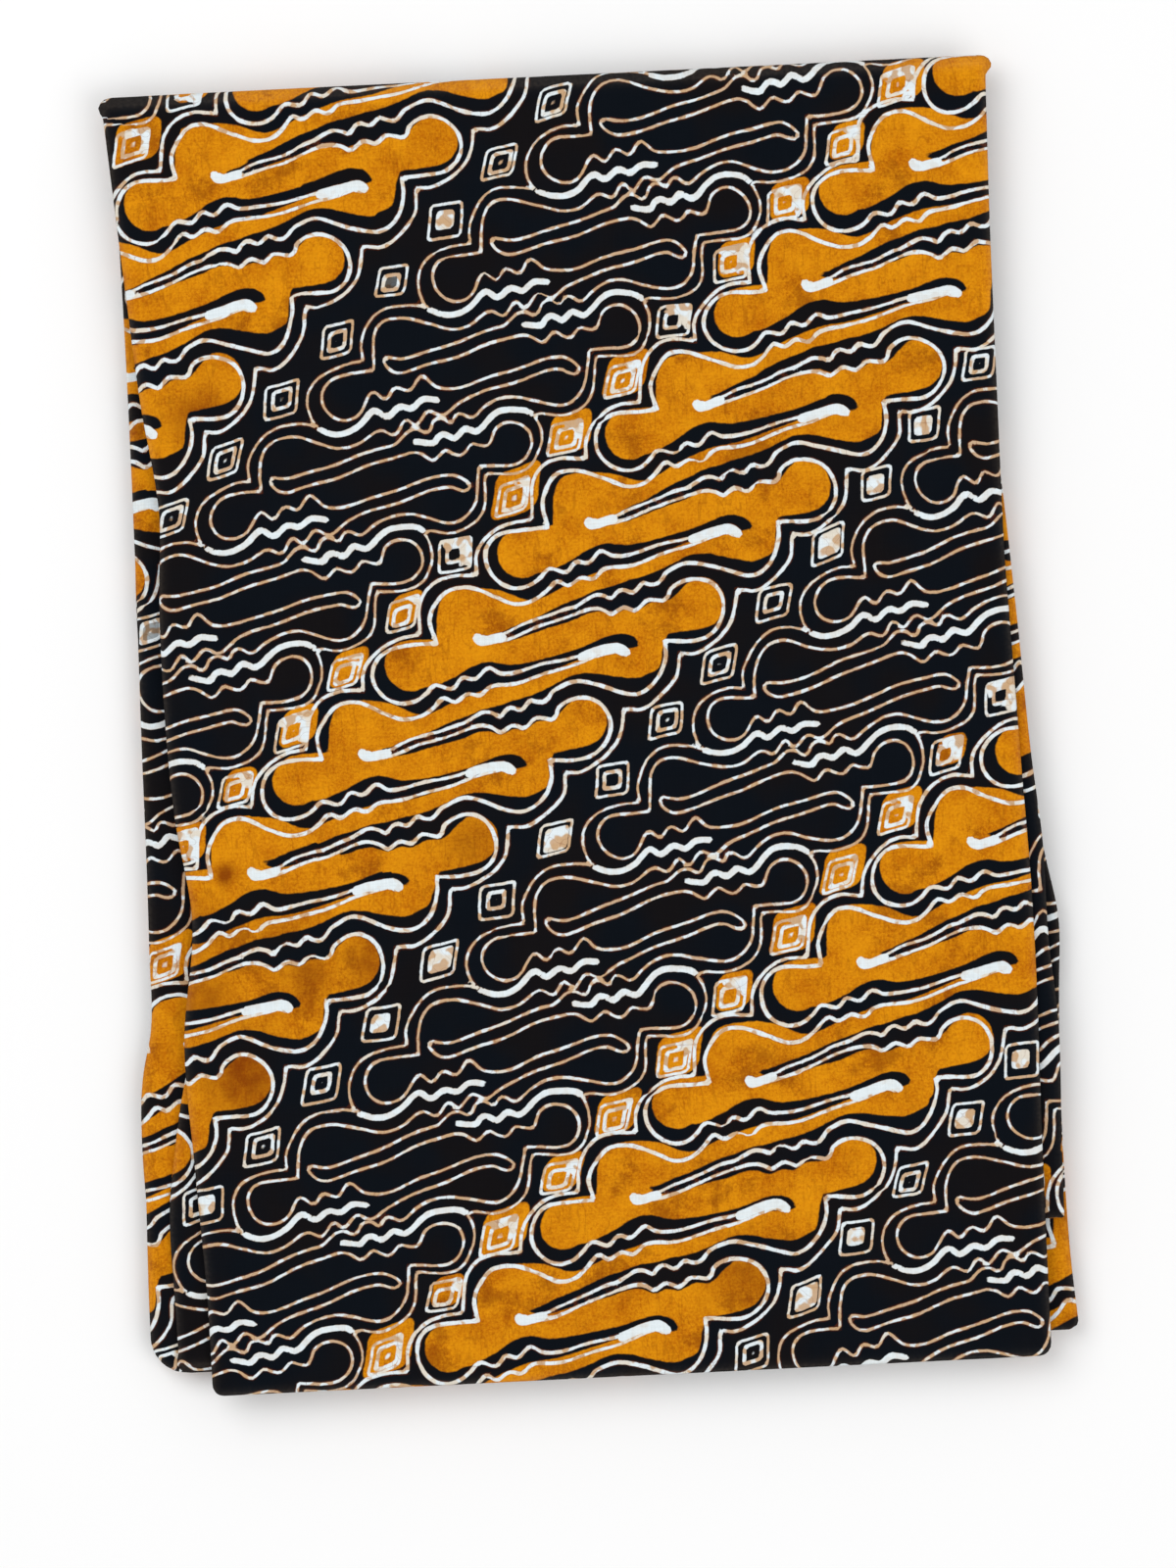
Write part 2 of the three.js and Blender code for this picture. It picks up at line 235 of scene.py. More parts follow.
# the second waxing kept the orange while the rest was dyed black
coverLeft = {
    "notch": (-35.7, 3.7),
    "knob": ((-45.3, -4.8), 8.0, 95, 305, 9),
    "edge": [
        (-39.0, -11.4), (-30.2, -7.8), (-24.6, -4.6), (-19.3, -3.4), (-11.9, -4.7), (8.2, -1.6),
        (21.2, 2.2), (26.3, 0.8), (28.0, -2.2), (25.4, -2.9), (18.8, -2.8), (-10.0, -10.9),
        (-20.0, -12.2), (-31.0, -15.8), (-42.4, -20.2), (-52.7, -16.8), (-63.0, -16.0), (-69.5, -17.7),
        (-72.3, -23.1), (-72.8, -27.6),
    ],
}
coverRight = {
    "notch": (36.7, 1.2),
    "knob": ((47.0, 10.8), 8.0, -80, 100, 8),
    "edge": [
        (43.5, 17.2), (41.5, 15.5), (39.5, 13.4), (37.5, 12.0), (32.5, 12.0), (30.6, 11.0), (28.2, 9.8),
        (24.5, 10.2), (20.3, 8.9), (16, 10.2), (12, 9.8), (7, 8.0), (0, 6.4), (-5, 5.0), (-10, 3.6),
        (-14.6, 3.0), (-19, 4.75), (-15, 6.0), (-10, 8.1), (-5, 9.75), (0, 12.0), (5, 14.1), (10, 15.6),
        (15, 17.5), (20, 18.3), (25, 19.7), (30, 20.6), (37.1, 23.0), (40.9, 24.7), (44.8, 26.2),
        (50.5, 26.3), (54.4, 25.4), (59.4, 24.3), (64.8, 23.7), (67.8, 24.7), (71.5, 26.5), (72.3, 28.5),
        (72.9, 33),
    ],
}
diamondChart = {
    # two of each row to a blade, from the middle of a black blade
    "cleanRow": [(-46.8, 9.0), (-65.5, -9.1)],
    "blottedRow": [(44.4, -7.0), (62.4, 11.0)],
    "half": 4.9,                      # half the width of the outer outline
    "corner": 1.1,
    "tilt": -0.20,                    # its top and foot rise to the right by this slope
    "lean": -0.17,                    # and its sides lean over to the right
    "leanRange": 0.14,                # by which this differs from one to another
    "innerHalf": 2.7,
    "innerCorner": 0.7,
    "innerSlip": 0.9,                 # how far the inner outline may lie off
    "blotHalf": (4.2, 7.2),           # the least and the most of the second waxing's blot
    "blotCorner": 3.0,
    "blotless": 0.12,                 # the share of diamonds that it missed
}


def bladeEdge(chart, step):
    # one side of a blade: from its notch round the knob and the waves to the next notch
    notch = np.array(chart["notch"])
    return smoothRun(np.vstack([notch, roundRun(*chart["knob"]), chart["edge"], notch + step]))


def outerEdge(chart, step):
    # the line outside that side: two smooth runs that meet in a corner
    first, second = chart["outer"]
    return np.vstack([smoothRun(first), smoothRun([first[-1]] + second + [tuple(first[0] + step)])])


def bandOutline(edgeOf, leftChart, rightChart, blades=4):
    # closed outline of a band: the left side down it, shifted by -k bladeStep, and the right side
    # back up it, shifted by +k bladeStep
    steps = np.arange(-blades, blades + 1)[:, None, None] * bladeStep
    left = (edgeOf(leftChart, -bladeStep) - steps).reshape(-1, 2)
    right = (edgeOf(rightChart, bladeStep) + steps).reshape(-1, 2)
    return np.vstack([left, right])


def repeatedRuns(runs, blades=2):
    # segments of open runs, smoothed, on every blade
    starts, ends = [], []
    for k in range(-blades, blades + 1):
        for run in map(smoothRun, runs):
            starts.append(run[:-1] + k * bladeStep)
            ends.append(run[1:] + k * bladeStep)
    return np.vstack(starts), np.vstack(ends)


def cellPoints():
    # grid of the repeat: s bladeStep + t bandStep, with 0 <= s < 1 and -0.5 <= t < 0.5
    ns = round(np.hypot(*bladeStep) / cloth["gridStep"])
    nt = round(np.hypot(*bandStep) / cloth["gridStep"])
    s, t = np.meshgrid(np.arange(ns) / ns, np.arange(nt) / nt - 0.5, indexing="ij")
    return s[..., None] * bladeStep + t[..., None] * bandStep


def tiles(shape, size=40):
    # slices that cover a grid in square blocks, to keep the arrays small
    for i in range(0, shape[0], size):
        for j in range(0, shape[1], size):
            yield slice(i, i + size), slice(j, j + size)


def distanceField(starts, ends):
    # d = min over segments of |w - clip(w.e / e.e, 0, 1) e|, with w = point - start, e = end - start
    points = cellPoints()
    reach = cloth["reach"]
    field = np.full(points.shape[:2], reach)
    low = np.minimum(starts, ends) - reach
    high = np.maximum(starts, ends) + reach
    for tile in tiles(field.shape):
        p = points[tile].reshape(-1, 2)
        near = ((high > p.min(0)) & (low < p.max(0))).all(1)
        if not near.any():
            continue
        a = starts[near]
        e = ends[near] - a
        w = p[:, None] - a
        along = np.clip((w * e).sum(2) / np.maximum((e * e).sum(1), 1e-9), 0, 1)
        d = np.hypot(w[..., 0] - along * e[:, 0], w[..., 1] - along * e[:, 1]).min(1)
        field[tile] = np.minimum(d, reach).reshape(field[tile].shape)
    return field


def signedField(outline):
    # distance to the outline, negative where a ray to the right crosses it an odd number of times
    starts = outline
    ends = np.roll(outline, -1, 0)
    field = distanceField(starts, ends)
    points = cellPoints()
    slope = (ends[:, 0] - starts[:, 0]) / np.where(ends[:, 1] == starts[:, 1], 1, ends[:, 1] - starts[:, 1])
    top = np.maximum(starts[:, 1], ends[:, 1])
    foot = np.minimum(starts[:, 1], ends[:, 1])
    for tile in tiles(field.shape):
        p = points[tile].reshape(-1, 2)
        level = (top > p[:, 1].min()) & (foot < p[:, 1].max())
        y = p[:, 1:2]
        crosses = (starts[level, 1] > y) != (ends[level, 1] > y)
        crossX = starts[level, 0] + (y - starts[level, 1]) * slope[level]
        inside = (crosses & (p[:, :1] < crossX)).sum(1) % 2 == 1
        block = field[tile]
        field[tile] = np.where(inside.reshape(block.shape), -block, block)
    return field


def bandSteps(p, centre):
    # s and t of flat points p, where p - centre = s bladeStep + t bandStep
    inverse = np.linalg.inv(np.stack([bladeStep, bandStep], 1))
    return ((p - centre) @ inverse.T).T


def sampled(field, p, centre):
    # bilinear value of a repeating field at flat points p
    s, t = bandSteps(p, centre)
    u = (s % 1) * field.shape[0]
    v = ((t + 0.5) % 1) * field.shape[1]
    i = np.floor(u).astype(int)
    j = np.floor(v).astype(int)
    fu = u - i
    fv = v - j
    i0, i1 = i % field.shape[0], (i + 1) % field.shape[0]
    j0, j1 = j % field.shape[1], (j + 1) % field.shape[1]
    return ((1 - fu) * ((1 - fv) * field[i0, j0] + fv * field[i0, j1])
            + fu * ((1 - fv) * field[i1, j0] + fv * field[i1, j1]))


def scattered(*keys):
    # a fixed number from 0 to 1 for whole-number keys: the fraction of a large sine
    total = 0
    for weight, key in zip((12.9898, 78.233, 37.719), keys):
        total = total + weight * key
    return np.modf(np.abs(np.sin(total + 1.7) * 43758.5453))[0]


print("batik: working out the stamped repeat")
blackBody = signedField(bandOutline(bladeEdge, blackLeft, blackRight))
blackOuter = signedField(bandOutline(outerEdge, blackLeft, blackRight))
blackBold = distanceField(*repeatedRuns(blackStrokes["runs"]))
orangeBody = signedField(bandOutline(bladeEdge, orangeLeft, orangeRight))
orangeOuter = signedField(bandOutline(outerEdge, orangeLeft, orangeRight))
orangeBold = distanceField(*repeatedRuns(orangeStrokes["runs"]))
slitField = distanceField(*repeatedRuns(orangeSlits))
coverBody = signedField(bandOutline(bladeEdge, coverLeft, coverRight))


def softWander(p, seed, size, wave):
    # slow drift of the hand-placed print: size sin(2 pi p.k / wave + phase), in x and in y
    turn = seed * 1.9
    kx, ky = math.cos(turn), math.sin(turn)
    a = 2 * np.pi * (p[:, 0] * kx + p[:, 1] * ky) / wave
    b = 2 * np.pi * (p[:, 0] * ky - p[:, 1] * kx) / (wave * 0.83)
    return np.stack([size * np.sin(a + seed), size * np.sin(b + 2.3 * seed)], 1)


def printSlip(p, centre, seam, seed):
    # each print of the stamp lies off by up to stampSlip: one whole offset for each block of
    # blades, and the distance from the nearest seam
    s, t = bandSteps(p, centre)
    column = np.floor(t + 0.5)
    block = np.floor((s - seam) / cloth["stampBlades"])
    slip = np.stack([scattered(block, column, seed) - 0.5, scattered(block, column, seed + 7) - 0.5], 1)
    half = 0.5 * cloth["stampBlades"]
    toSeam = np.abs((s - seam + half) % cloth["stampBlades"] - half)
    return 2 * cloth["stampSlip"] * slip, toSeam * np.hypot(*bladeStep)


def bandDrift(p, centre, rows):
    # straight lines along s between the rows of a side, and straight across t from one side's
    # notches to the other's; no drift in the bands without rows
    s, t = bandSteps(p, centre)
    column = np.floor(t + 0.5)
    notchS, notchT = cloth["notchPlace"]
    across = np.clip((t - column) / (2 * notchT) + 0.5, 0, 1)[:, None]
    drift = np.zeros_like(p)
    for number, sides in rows.items():
        ends = []
        for side, other, way in (("left", "right", -1), ("right", "left", 1)):
            way = way if side in sides else -way
            blade, x, y = np.array(sides.get(side, sides.get(other)), float).T
            seenAt = blade + way * notchS
            ends.append(np.stack([np.interp(s, seenAt, x), np.interp(s, seenAt, y)], 1))
        along = (1 - across) * ends[0] + across * ends[1]
        drift = np.where((column == number)[:, None], along, drift)
    return drift


def roundedBox(x, y, half, corner):
    # signed distance to a square with round corners
    qx = np.abs(x) - half + corner
    qy = np.abs(y) - half + corner
    return np.hypot(np.maximum(qx, 0), np.maximum(qy, 0)) + np.minimum(np.maximum(qx, qy), 0) - corner


def diamondFields(p):
    # nearest diamond of each row: outer outline, inner outline, the blot of the second waxing,
    # and how full of wax it ran: 0 to 1 in the clean row, about 2 in the blotted one
    chart = diamondChart
    outer = np.full(len(p), cloth["reach"])
    inner = np.full(len(p), cloth["reach"])
    blot = np.full(len(p), cloth["reach"])
    fill = np.zeros(len(p))
    centre = np.array(cloth["blackCentre"])
    for row, places in enumerate((chart["cleanRow"], chart["blottedRow"])):
        for place in places:
            middle = centre + place
            s, t = bandSteps(p, middle)
            i, j = np.round(s), np.round(t)
            d = p - middle - i[:, None] * bladeStep - j[:, None] * bandStep
            key = scattered(i + 3 * place[0], j, row)
            other = scattered(j, i + 2 * place[1], row + 5)
            tilt = chart["tilt"] * (0.6 + 0.8 * key)
            lean = chart["lean"] + chart["leanRange"] * (other - 0.5)
            x = d[:, 0] + lean * d[:, 1]
            y = d[:, 1] + tilt * d[:, 0]
            half = chart["half"] * (0.93 + 0.14 * other)
            fullness = 2 + 0.5 * (x + y) / half + other - 0.5 if row else key
            box = roundedBox(x, y, half, chart["corner"])
            closer = box < outer
            outer = np.where(closer, box, outer)
            fill = np.where(closer, fullness, fill)
            slipX = chart["innerSlip"] * (key - 0.4)
            slipY = chart["innerSlip"] * (other - 0.5)
            half = chart["innerHalf"] * (0.85 + 0.3 * key)
            inner = np.where(closer, roundedBox(x - slipX, y - slipY, half, chart["innerCorner"]), inner)
            if row:
                least, most = chart["blotHalf"]
                size = least + (most - least) * key
                box = roundedBox(x - 1.2 - 1.5 * (other - 0.3), y - 1.4, size, chart["blotCorner"])
                blot = np.minimum(blot, np.where(key > chart["blotless"], box, cloth["reach"]))
    return outer, inner, blot, fill


def printFields(p):
    # every value that the dye follows, at flat points p
    black = np.array(cloth["blackCentre"])
    orange = np.array(cloth["orangeCentre"])
    drift = p + sum(softWander(p, *wander) for wander in cloth["wander"])
    blackSlip, blackSeam = printSlip(p, black, cloth["blackSeam"], 1)
    orangeSlip, orangeSeam = printSlip(p, orange, cloth["orangeSeam"], 2)
    coverSlip = cloth["coverSlip"] * printSlip(p, orange, cloth["coverSeam"], 3)[0]
    orangeDrift = bandDrift(p, orange, cloth["orangeDrift"])
    onBlack = drift + blackSlip - bandDrift(p, black, cloth["blackDrift"])
    onOrange = drift + orangeSlip - orangeDrift
    onCover = p + softWander(p, *cloth["coverWander"]) + coverSlip - orangeDrift
    outerBlack = sampled(blackOuter, onBlack, black)
    outerOrange = sampled(orangeOuter, onOrange, orange)
    diamond, inner, blot, fill = diamondFields(onBlack)
    seam = np.where(outerBlack < outerOrange, blackSeam, orangeSeam)
    slit = smoothStep(sampled(slitField, onOrange, orange) / 3.5)
    # stains and painted crease shade: each falls off as exp(-(distance / radius)^2)
    stainAndCreaseShade = np.zeros(len(p))
    for x, y, radius, strength in cloth["stainsAndCreaseShade"]:
        away = np.hypot(p[:, 0] - x, p[:, 1] - y) / radius
        stainAndCreaseShade = np.maximum(stainAndCreaseShade, strength * np.exp(-away ** 2))
    return {
        "body": np.minimum(sampled(blackBody, onBlack, black), sampled(orangeBody, onOrange, orange)),
        "outer": np.minimum(outerBlack, outerOrange),
        "stroke": np.minimum(sampled(blackBold, onBlack, black) - blackStrokes["half"],
                             sampled(orangeBold, onOrange, orange) - orangeStrokes["half"]),
        "side": np.clip((outerBlack - outerOrange) / 2, -1, 1),     # -1 among the black, 1 in orange
        "cover": np.minimum(sampled(coverBody, onCover, orange), blot),
        "diamond": diamond,
        "inner": inner,
        "fill": fill,
        "stainAndCreaseShade": stainAndCreaseShade,
        "press": np.clip(seam / 1.6, 0, 1) * (0.55 + 0.45 * slit),
    }


# the cloth's dye and weave
dye = {
    "white": (0.73, 0.80, 0.83),
    "tan": (0.53, 0.31, 0.14),
    "cream": (0.70, 0.56, 0.38),
    "black": (0.0028, 0.0045, 0.0075),
    "brownBlack": (0.008, 0.0045, 0.003),
    "orange": (0.72, 0.275, 0.004),
    "deepOrange": (0.42, 0.105, 0.001),
    "rust": (0.20, 0.035, 0.001),
    "worn": (0.35, 0.28, 0.22),
    "lineInBlack": 0.43,      # half the width of a waxed line, mm
    "lineInOrange": 0.60,
    "outerLine": 0.88,        # a band's outer line as a share of its inner one
    "ringLine": 0.43,         # half the width of a diamond's lines
    "innerLine": 0.58,
    "dotEdge": -2.35,         # a diamond's dot begins this far inside its inner line
    "edgeSoft": 0.14,
    "jitter": 0.42,           # how far the wax strays from its line
    "fringe": 0.34,           # how far dye crept under the wax
    "veins": [(0.9, 7.0, 0.28), (-0.8, 6.0, 0.25), (-2.2, 4.5, 0.35)],      # turn, size, squeeze
    "veinRust": 0.42,         # how strongly each kind of rust shows
    "cloudRust": 0.55,
    "fringeRust": 0.3,
    "crackRust": 0.45,
    # the most that the stains and the painted crease shade darken the orange towards rust
    "stainAndShadeRust": 0.85,        # at most
    "foldWear": 0.10,
    "roughness": 0.82,
    "roughnessRange": 0.16,
    "specular": 0.04,
    "weave": 0.32,            # thread to thread, mm
    "bump": 0.25,
    "threadHeight": 0.00012,  # metres
}
bandLength = 0.314            # of a wave texture's bands at scale 1


class Wiring:
    # short calls for shader nodes; sockets and plain numbers may be mixed
    def __init__(self, tree):
        self.tree = tree
        self.column = 0

    def node(self, kind, **settings):
        made = self.tree.nodes.new(kind)
        made.location = (220 * (self.column % 12), -170 * (self.column // 12))
        self.column += 1
        for key, value in settings.items():
            setattr(made, key, value)
        return made

    def put(self, socket, value):
        if isinstance(value, bpy.types.NodeSocket):
            self.tree.links.new(value, socket)
        else:
            socket.default_value = value

    def math(self, operation, *values):
        made = self.node("ShaderNodeMath", operation=operation)
        for socket, value in zip(made.inputs, values):
            self.put(socket, value)
        return made.outputs[0]

    def times(self, a, b):
        return self.math("MULTIPLY", a, b)

    def plus(self, a, b):
        return self.math("ADD", a, b)

    def scaled(self, value, factor, offset):
        # value factor + offset
        return self.math("MULTIPLY_ADD", value, factor, offset)

    def most(self, first, *others):
        # the greatest of them
        for value in others:
            first = self.math("MAXIMUM", first, value)
        return first

    def fromHalf(self, value):
        # |value - 0.5|
        return self.math("ABSOLUTE", self.math("SUBTRACT", value, 0.5))

    def below(self, value, limit, soft):
        # 1 where value < limit, 0 above, smooth over soft
        made = self.node("ShaderNodeMapRange", interpolation_type="SMOOTHSTEP")
        wired = isinstance(limit, bpy.types.NodeSocket)
        self.put(made.inputs["Value"], value)
        self.put(made.inputs["From Min"], self.math("SUBTRACT", limit, soft) if wired else limit - soft)
        self.put(made.inputs["From Max"], self.plus(limit, soft) if wired else limit + soft)
        made.inputs["To Min"].default_value = 1.0
        made.inputs["To Max"].default_value = 0.0
        return made.outputs["Result"]

    def above(self, value, limit, soft):
        # 0 where value < limit, 1 above, smooth over soft
        return self.math("SUBTRACT", 1.0, self.below(value, limit, soft))

    def attribute(self, name):
        return self.node("ShaderNodeAttribute", attribute_name=name).outputs["Fac"]

    def noise(self, vector, size, detail=2.0, roughness=0.5):
        # size is the length of a feature in mm
        made = self.node("ShaderNodeTexNoise", noise_dimensions="3D")
        self.put(made.inputs["Vector"], vector)
        made.inputs["Scale"].default_value = 1 / (size * uvUnit)
        made.inputs["Detail"].default_value = detail
        made.inputs["Roughness"].default_value = roughness
        return made.outputs["Fac"]

    def stretched(self, vector, scale, turn=0.0):
        made = self.node("ShaderNodeMapping")
        self.put(made.inputs["Vector"], vector)
        made.inputs["Scale"].default_value = scale
        made.inputs["Rotation"].default_value = (0, 0, turn)
        return made.outputs["Vector"]

    def mix(self, factor, a, b, blend="MIX"):
        made = self.node("ShaderNodeMix", data_type="RGBA", blend_type=blend)
        self.put(made.inputs[0], factor)
        self.put(made.inputs[6], a if isinstance(a, bpy.types.NodeSocket) else (*a, 1))
        self.put(made.inputs[7], b if isinstance(b, bpy.types.NodeSocket) else (*b, 1))
        return made.outputs[2]


def lineMask(w, field, half, jitter):
    # a waxed line: |field + jitter| < half
    distance = w.math("ABSOLUTE", w.plus(w.attribute(field), jitter))
    return w.below(distance, half, dye["edgeSoft"])


def waxedLines(w, flat, half, jitter):
    # 1 under the wax: a band's two lines, the bold strokes and the diamonds; and the strokes alone
    body = lineMask(w, "body", half, jitter)
    outer = lineMask(w, "outer", w.times(half, dye["outerLine"]), jitter)
    stroke = w.below(w.plus(w.attribute("stroke"), jitter), 0.0, dye["edgeSoft"])
    ring = lineMask(w, "diamond", dye["ringLine"], jitter)
    inner = lineMask(w, "inner", dye["innerLine"], jitter)
    dot = w.below(w.attribute("inner"), dye["dotEdge"], 0.3)

    # some diamonds ran full of wax: the middle of a few, and the ring of the blotted row
    fill = w.attribute("fill")
    fullMiddle = w.times(w.below(w.attribute("inner"), 0.1, 0.3), w.above(w.fromHalf(fill), 0.36, 0.01))
    cleanRow = w.below(fill, 1.05, 0.02)
    runs = w.scaled(w.noise(flat, 3.0, 1), 0.9, w.math("SUBTRACT", fill, 2.45))
    between = w.times(w.below(w.attribute("diamond"), 0.2, 0.2), w.above(w.attribute("inner"), 0.0, 0.2))
    ringRun = w.times(w.times(between, w.above(runs, 0.2, 0.05)), w.math("SUBTRACT", 1.0, cleanRow))
    return w.most(body, outer, stroke, ring, inner, dot, w.times(fullMiddle, cleanRow), ringRun), stroke


def crackled(w, flat):
    # fine rust veins where the wax cracked: |noise - 0.5| near nought, turned three ways and
    # kept to patches
    veins = 0.0
    for turn, size, squeeze in dye["veins"]:
        along = w.stretched(flat, (1.0, squeeze, 1.0), turn)
        thin = w.below(w.fromHalf(w.noise(along, size, 2, 0.55)), 0.010, 0.022)
        patch = w.below(w.noise(w.stretched(flat, (1.0, 1.0, 1.0), turn), 11, 3), 0.46, 0.07)
        veins = w.most(veins, w.times(thin, patch))
    return w.times(veins, dye["veinRust"])


def dyedGround(w, flat, half, jitter):
    # black with a brown cast in places; under the cover orange with darker clouds, crackle and
    # stains, with painted crease shade among the stains; and a thin rust fringe beside each line where dye
    # crept under the wax
    cast = w.below(w.noise(flat, 34, 2), 0.47, 0.12)
    black = w.mix(w.times(cast, 0.5), dye["black"], dye["brownBlack"])
    grain = w.noise(flat, 0.9, 4, 0.75)
    cloudiness = w.plus(w.times(w.noise(flat, 15, 6, 0.7), 1.3), w.times(grain, 1.3))
    orange = w.mix(w.below(cloudiness, 1.23, 0.38), dye["orange"], dye["deepOrange"])
    smoky = w.scaled(grain, 0.12, w.noise(flat, 24, 5, 0.65))
    orange = w.mix(w.times(w.below(smoky, 0.465, 0.06), dye["cloudRust"]), orange, dye["rust"])
    orange = w.mix(crackled(w, flat), orange, dye["rust"])
    mottled = w.scaled(w.noise(flat, 5.0, 4), 1.1, 0.35)
    # the stains, and the painted shade of the left-hand crease among them, darken the orange towards rust
    stainedAndShaded = w.math("MINIMUM", dye["stainAndShadeRust"], w.times(w.attribute("stainAndCreaseShade"), mottled))
    orange = w.mix(stainedAndShaded, orange, dye["rust"])
    covered = w.below(w.plus(w.attribute("cover"), w.times(jitter, 1.4)), 0.0, 0.28)
    ground = w.mix(covered, black, orange)
    reach = w.plus(half, dye["fringe"])
    fringe = w.most(lineMask(w, "body", reach, jitter), lineMask(w, "outer", reach, jitter))
    crept = w.times(fringe, w.above(w.noise(flat, 4.5, 2), 0.5, 0.1))
    return w.mix(w.times(crept, dye["fringeRust"]), ground, dye["rust"])


def waxColour(w, flat, inOrange, stroke):
    # along a line white gives way to tan in short dashes, more often among the black, to cream
    # in between, and fine cracks cross it; the bold strokes stay nearly white
    bare = w.math("SUBTRACT", 1.0, w.times(stroke, 0.85))
    creamy = w.times(w.below(w.noise(flat, 5.0, 1), 0.47, 0.06), 0.6)
    wax = w.mix(w.times(creamy, bare), dye["white"], dye["cream"])
    tan = w.times(w.below(w.noise(flat, 3.2, 0.5), w.scaled(inOrange, -0.13, 0.52), 0.05), bare)
    wax = w.mix(w.times(tan, 0.85), wax, dye["tan"])
    cracks = w.times(w.below(w.fromHalf(w.noise(flat, 4.0, 0)), 0.008, 0.012), bare)
    return w.mix(w.times(cracks, dye["crackRust"]), wax, dye["rust"])


def batikCotton():
    # colour: the dyed ground, then waxed lines in white and tan; bump: plain weave
    material = bpy.data.materials.new("batikCotton")
    material.use_nodes = True
    tree = material.node_tree
    tree.nodes.clear()
    w = Wiring(tree)
    flat = w.node("ShaderNodeUVMap", uv_map="flatCloth").outputs["UV"]

    # how the wax ran: small jitter of every edge, pressure that comes and goes
    jitter = w.times(w.math("SUBTRACT", w.noise(flat, 2.2, 2), 0.5), dye["jitter"])
    inOrange = w.scaled(w.attribute("side"), 0.5, 0.5)
    half = w.scaled(inOrange, dye["lineInOrange"] - dye["lineInBlack"], dye["lineInBlack"])
    half = w.times(half, w.scaled(w.noise(flat, 5.5, 1), 0.8, 0.6))
    half = w.times(half, w.scaled(w.attribute("press"), 0.8, 0.2))
    lines, stroke = waxedLines(w, flat, half, jitter)
    colour = w.mix(lines, dyedGround(w, flat, half, jitter), waxColour(w, flat, inOrange, stroke))

    # threads: slight light and dark along warp and weft, and paler folded edges
    warpThreads = w.noise(w.stretched(flat, (1.0, 0.06, 1.0)), 0.5, 2)
    weftThreads = w.noise(w.stretched(flat, (0.06, 1.0, 1.0)), 0.5, 2)
    threads = w.plus(warpThreads, weftThreads)
    shade = w.scaled(threads, 0.22, 0.78)
    threadColour = w.node("ShaderNodeCombineColor")
    for channel in range(3):
        w.put(threadColour.inputs[channel], shade)
    colour = w.mix(1.0, colour, threadColour.outputs[0], "MULTIPLY")
    worn = w.times(w.attribute("fold"), w.noise(flat, 1.2, 3))
    colour = w.mix(w.times(worn, dye["foldWear"]), colour, dye["worn"])

    # plain weave: over and under in both directions, with uneven threads
    waves = []
    for direction in "XY":
        wave = w.node("ShaderNodeTexWave", wave_type="BANDS", bands_direction=direction, wave_profile="SIN")
        w.put(wave.inputs["Vector"], flat)
        wave.inputs["Scale"].default_value = bandLength / (dye["weave"] * uvUnit)
        waves.append(wave.outputs["Fac"])
    bump = w.node("ShaderNodeBump")
    bump.inputs["Strength"].default_value = dye["bump"]
    bump.inputs["Distance"].default_value = dye["threadHeight"]
    w.put(bump.inputs["Height"], w.scaled(w.times(*waves), 0.5, threads))

    smoothest = dye["roughness"] - 0.5 * dye["roughnessRange"]
    shader = w.node("ShaderNodeBsdfPrincipled")
    w.put(shader.inputs["Base Color"], colour)
    w.put(shader.inputs["Roughness"], w.scaled(w.noise(flat, 9, 2), dye["roughnessRange"], smoothest))
    shader.inputs["Specular IOR Level"].default_value = dye["specular"]
    w.put(shader.inputs["Normal"], bump.outputs[0])
    output = w.node("ShaderNodeOutputMaterial")
    w.put(output.inputs["Surface"], shader.outputs[0])
    return material


print("batik: dyeing the cloth")
cottonMaterial = batikCotton()


# folded stretches
widestSide = 145.6        # the greatest x in the lists of sides: the right of the third panel's box
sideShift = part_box("third_panel")[1].x / mm - widestSide
noseBlend = 4.0           # a stretch's round nose fades into its lips this far from the fold
underTurn = 1.2           # the hidden face begins this far in from the edge
noseTurn = 0.4            # and below a nose the turn to it begins here


def through(rows, column, y):
    # smooth curve through the rows (y, value), slopes from both neighbours
    known = np.array(sorted((row[0], row[column]) for row in rows))
    slopes = np.gradient(known[:, 1], known[:, 0])
    i = np.clip(np.searchsorted(known[:, 0], y) - 1, 0, len(known) - 2)
    span = known[i + 1, 0] - known[i, 0]
    t = np.clip((y - known[i, 0]) / span, 0, 1)
    return hermite(t, known[i, 1], span * slopes[i], known[i + 1, 1], span * slopes[i + 1])


def cornerInset(distance, radius):
    # how far a side stands in at a distance from the end: radius - sqrt(r^2 - (r - d)^2)
    d = np.clip(radius - distance, 0, radius)
    return radius - np.sqrt(np.maximum(radius**2 - d**2, 0))


def spacedSteps(length, fine, coarse, fineWidth):
    # places from 0 to length: fine near both ends, coarse in the middle
    near = [0, 0.25, 0.6] + list(np.arange(1, fineWidth, fine))
    middle = np.linspace(near[-1], length - near[-1], max(2, round((length - 2 * near[-1]) / coarse) + 1))
    return np.concatenate([near[:-1], middle, length - np.array(near[:-1])[::-1]])


def edgeOrder(rows, columns):
    # grid indices once round the border, anticlockwise from the foot's left end
    index = np.arange(rows * columns).reshape(rows, columns)
    return np.concatenate([index[0, :-1], index[:-1, -1], index[-1, :0:-1], index[:0:-1, 0]])


